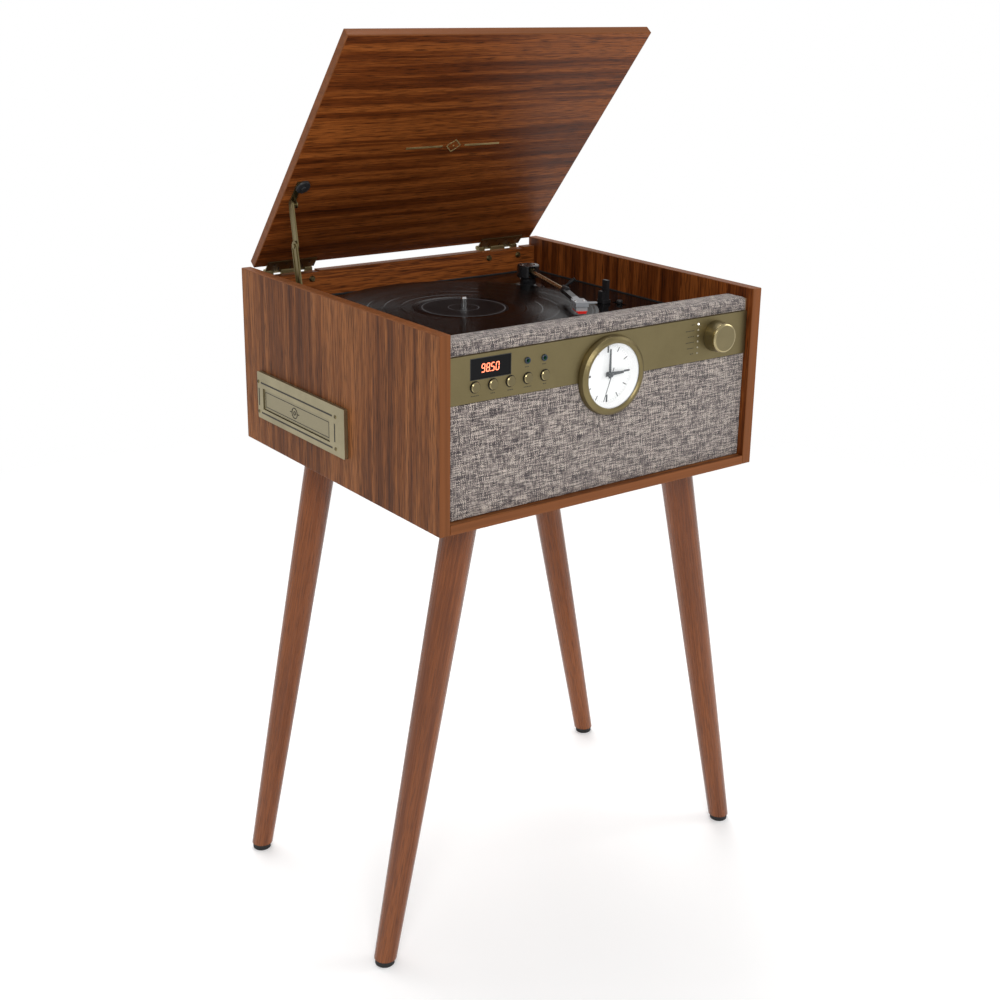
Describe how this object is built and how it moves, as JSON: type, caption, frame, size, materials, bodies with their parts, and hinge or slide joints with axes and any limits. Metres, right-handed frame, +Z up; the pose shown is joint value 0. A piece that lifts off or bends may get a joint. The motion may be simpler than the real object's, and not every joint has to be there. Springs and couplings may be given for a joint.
{
  "type": "radio phonograph console",
  "caption": "Wooden record player and radio console with a propped lid, turntable, clock front, side disc drawer and splayed legs.",
  "frame": {"origin": "on the floor under the middle of the cabinet", "axes": "+X to the right as seen from the front, +Y towards the back, +Z up; the controls face -Y"},
  "size_m": [0.5274, 0.4166, 0.9587],
  "materials": {
    "side_panel_left": "satin walnut veneer, vertical grain",
    "side_panel_right": "satin walnut veneer, vertical grain",
    "bottom_panel": "satin walnut veneer",
    "back_panel": "satin walnut veneer, level grain",
    "lid_panel": "satin walnut veneer, level grain",
    "deck_board": "gloss black",
    "baffle_board": "bare fibreboard",
    "rail_cloth": "coarse tweed weave",
    "grille_cloth": "coarse tweed weave",
    "control_fascia": "matt antique brass",
    "display_window": "gloss black window",
    "button_1": "antique brass cap",
    "button_2": "antique brass cap",
    "button_3": "antique brass cap",
    "button_4": "antique brass cap",
    "button_5": "antique brass cap",
    "control_board": "circuit board with switches and jacks",
    "selector_knob": "spun antique brass",
    "clock_bezel": "antique brass",
    "clock_dial": "white dial",
    "clock_glass": "clear",
    "clock_movement": "moulded black case",
    "hour_hand": "black",
    "minute_hand": "black",
    "second_hand": "black",
    "platter": "black with steel spindle",
    "record": "grooved gloss black",
    "motor": "drawn can",
    "motor_pulley": "turned",
    "drive_belt": "flat rubber belt",
    "tonearm_base": "gloss black",
    "tonearm_yoke": "gloss black",
    "tonearm_tube": "polished brass",
    "headshell": "grey and black moulding",
    "cartridge": "grey body with red stylus holder",
    "arm_rest": "black",
    "cue_lever": "black",
    "speed_lever": "black",
    "hinge_lid_leaf_left": "antique brass",
    "hinge_lid_leaf_right": "antique brass",
    "hinge_back_leaf_left": "antique brass",
    "hinge_back_leaf_right": "antique brass",
    "stay_lid_bracket": "antique brass",
    "stay_upper_arm": "antique brass",
    "stay_lower_arm": "antique brass",
    "stay_base_bracket": "antique brass",
    "leg_front_left": "satin stained hardwood",
    "leg_front_right": "satin stained hardwood",
    "leg_back_left": "satin stained hardwood",
    "leg_back_right": "satin stained hardwood",
    "glide_front_left": "black glide",
    "glide_front_right": "black glide",
    "glide_back_left": "black glide",
    "glide_back_right": "black glide",
    "cd_frame": "antique brass with black grooves",
    "cd_tray": "antique brass front on a black tray",
    "cd_mechanism": "black case",
    "speaker_left": "paper cone in a pressed basket",
    "speaker_right": "paper cone in a pressed basket",
    "amplifier_module": "black case"
  },
  "bodies": {
    "cabinet": {"side_panel_left": "side_panel_left", "side_panel_right": "side_panel_right", "bottom_panel": "bottom_panel", "back_panel": "back_panel", "deck_board": "deck_board", "baffle_board": "baffle_board", "rail_cloth": "rail_cloth", "grille_cloth": "grille_cloth", "control_fascia": "control_fascia", "display_window": "display_window", "control_board": "control_board", "clock_bezel": "clock_bezel", "clock_dial": "clock_dial", "clock_glass": "clock_glass", "clock_movement": "clock_movement", "motor": "motor", "drive_belt": "drive_belt", "tonearm_base": "tonearm_base", "arm_rest": "arm_rest", "hinge_back_leaf_left": "hinge_back_leaf_left", "hinge_back_leaf_right": "hinge_back_leaf_right", "stay_base_bracket": "stay_base_bracket", "leg_front_left": "leg_front_left", "leg_front_right": "leg_front_right", "leg_back_left": "leg_back_left", "leg_back_right": "leg_back_right", "glide_front_left": "glide_front_left", "glide_front_right": "glide_front_right", "glide_back_left": "glide_back_left", "glide_back_right": "glide_back_right", "cd_frame": "cd_frame", "cd_mechanism": "cd_mechanism", "speaker_left": "speaker_left", "speaker_right": "speaker_right", "amplifier_module": "amplifier_module"},
    "lid": {"lid_panel": "lid_panel", "hinge_lid_leaf_left": "hinge_lid_leaf_left", "hinge_lid_leaf_right": "hinge_lid_leaf_right", "stay_lid_bracket": "stay_lid_bracket"},
    "stay_upper": {"stay_upper_arm": "stay_upper_arm"},
    "stay_lower": {"stay_lower_arm": "stay_lower_arm"},
    "button_1_cap": {"button_1": "button_1"},
    "button_2_cap": {"button_2": "button_2"},
    "button_3_cap": {"button_3": "button_3"},
    "button_4_cap": {"button_4": "button_4"},
    "button_5_cap": {"button_5": "button_5"},
    "knob": {"selector_knob": "selector_knob"},
    "hour": {"hour_hand": "hour_hand"},
    "minute": {"minute_hand": "minute_hand"},
    "second": {"second_hand": "second_hand"},
    "turntable": {"platter": "platter", "record": "record"},
    "pulley": {"motor_pulley": "motor_pulley"},
    "arm_yoke": {"tonearm_yoke": "tonearm_yoke"},
    "arm": {"tonearm_tube": "tonearm_tube", "headshell": "headshell", "cartridge": "cartridge"},
    "cue": {"cue_lever": "cue_lever"},
    "speed": {"speed_lever": "speed_lever"},
    "tray": {"cd_tray": "cd_tray"}
  },
  "joints": [
    {"name": "lid_hinge", "type": "hinge", "parent": "cabinet", "child": "lid", "pos_m": [0, 0.2045, 0.6845], "axis": [1, 0, 0], "range_deg": [0, 50.3]},
    {"name": "stay_upper_pivot", "type": "hinge", "parent": "lid", "child": "stay_upper", "pos_m": [-0.184, 0.12118, 0.77155], "axis": [1, 0, 0], "range_deg": [-129.6, 0]},
    {"name": "stay_lower_pivot", "type": "hinge", "parent": "cabinet", "child": "stay_lower", "pos_m": [-0.184, 0.101, 0.668], "axis": [1, 0, 0], "range_deg": [0, 93.4]},
    {"name": "button_1_press", "type": "slide", "parent": "cabinet", "child": "button_1_cap", "axis": [0, 1, 0], "range_m": [0, 0.0015], "stiffness_N_per_m": 400, "springref_m": -0.001},
    {"name": "button_2_press", "type": "slide", "parent": "cabinet", "child": "button_2_cap", "axis": [0, 1, 0], "range_m": [0, 0.0015], "stiffness_N_per_m": 400, "springref_m": -0.001},
    {"name": "button_3_press", "type": "slide", "parent": "cabinet", "child": "button_3_cap", "axis": [0, 1, 0], "range_m": [0, 0.0015], "stiffness_N_per_m": 400, "springref_m": -0.001},
    {"name": "button_4_press", "type": "slide", "parent": "cabinet", "child": "button_4_cap", "axis": [0, 1, 0], "range_m": [0, 0.0015], "stiffness_N_per_m": 400, "springref_m": -0.001},
    {"name": "button_5_press", "type": "slide", "parent": "cabinet", "child": "button_5_cap", "axis": [0, 1, 0], "range_m": [0, 0.0015], "stiffness_N_per_m": 400, "springref_m": -0.001},
    {"name": "knob_turn", "type": "hinge", "parent": "cabinet", "child": "knob", "pos_m": [0.151, -0.1928, 0.646], "axis": [0, 1, 0], "range_deg": [-135, 135]},
    {"name": "minute_turn", "type": "hinge", "parent": "cabinet", "child": "minute", "pos_m": [0.004, -0.1924, 0.624], "axis": [0, 1, 0], "continuous": true},
    {"name": "hour_turn", "type": "hinge", "parent": "cabinet", "child": "hour", "pos_m": [0.004, -0.1908, 0.624], "axis": [0, 1, 0], "continuous": true},
    {"name": "second_turn", "type": "hinge", "parent": "cabinet", "child": "second", "pos_m": [0.004, -0.1952, 0.624], "axis": [0, 1, 0], "continuous": true},
    {"name": "turntable_spin", "type": "hinge", "parent": "cabinet", "child": "turntable", "pos_m": [-0.0316, 0.0175, 0.65], "axis": [0, 0, -1], "continuous": true},
    {"name": "pulley_spin", "type": "hinge", "parent": "cabinet", "child": "pulley", "pos_m": [-0.0316, 0.0895, 0.65], "axis": [0, 0, -1], "continuous": true},
    {"name": "arm_swing", "type": "hinge", "parent": "cabinet", "child": "arm_yoke", "pos_m": [0.118, 0.096, 0.6745], "axis": [0, 0, 1], "range_deg": [-25.6, 24]},
    {"name": "arm_lift", "type": "hinge", "parent": "arm_yoke", "child": "arm", "pos_m": [0.118, 0.096, 0.6745], "axis": [-0.9634, 0.2681, 0], "range_deg": [0, 2.2]},
    {"name": "cue_lever_turn", "type": "hinge", "parent": "cabinet", "child": "cue", "pos_m": [0.1394, 0.0526, 0.658], "axis": [-1, 0, 0], "range_deg": [0, 33]},
    {"name": "speed_slide", "type": "slide", "parent": "cabinet", "child": "speed", "axis": [0, 1, 0], "range_m": [-0.008, 0.008]},
    {"name": "tray_slide", "type": "slide", "parent": "cabinet", "child": "tray", "axis": [-1, 0, 0], "range_m": [0, 0.128]}
  ],
  "couplings": [
    {"joint": "stay_upper_pivot", "follows": "lid_hinge", "ratio": -2.5746},
    {"joint": "stay_lower_pivot", "follows": "lid_hinge", "ratio": 1.8549},
    {"joint": "hour_turn", "follows": "minute_turn", "ratio": 0.083333},
    {"joint": "pulley_spin", "follows": "turntable_spin", "ratio": 12.915},
    {"joint": "cue_lever_turn", "follows": "arm_lift", "ratio": 15}
  ]
}
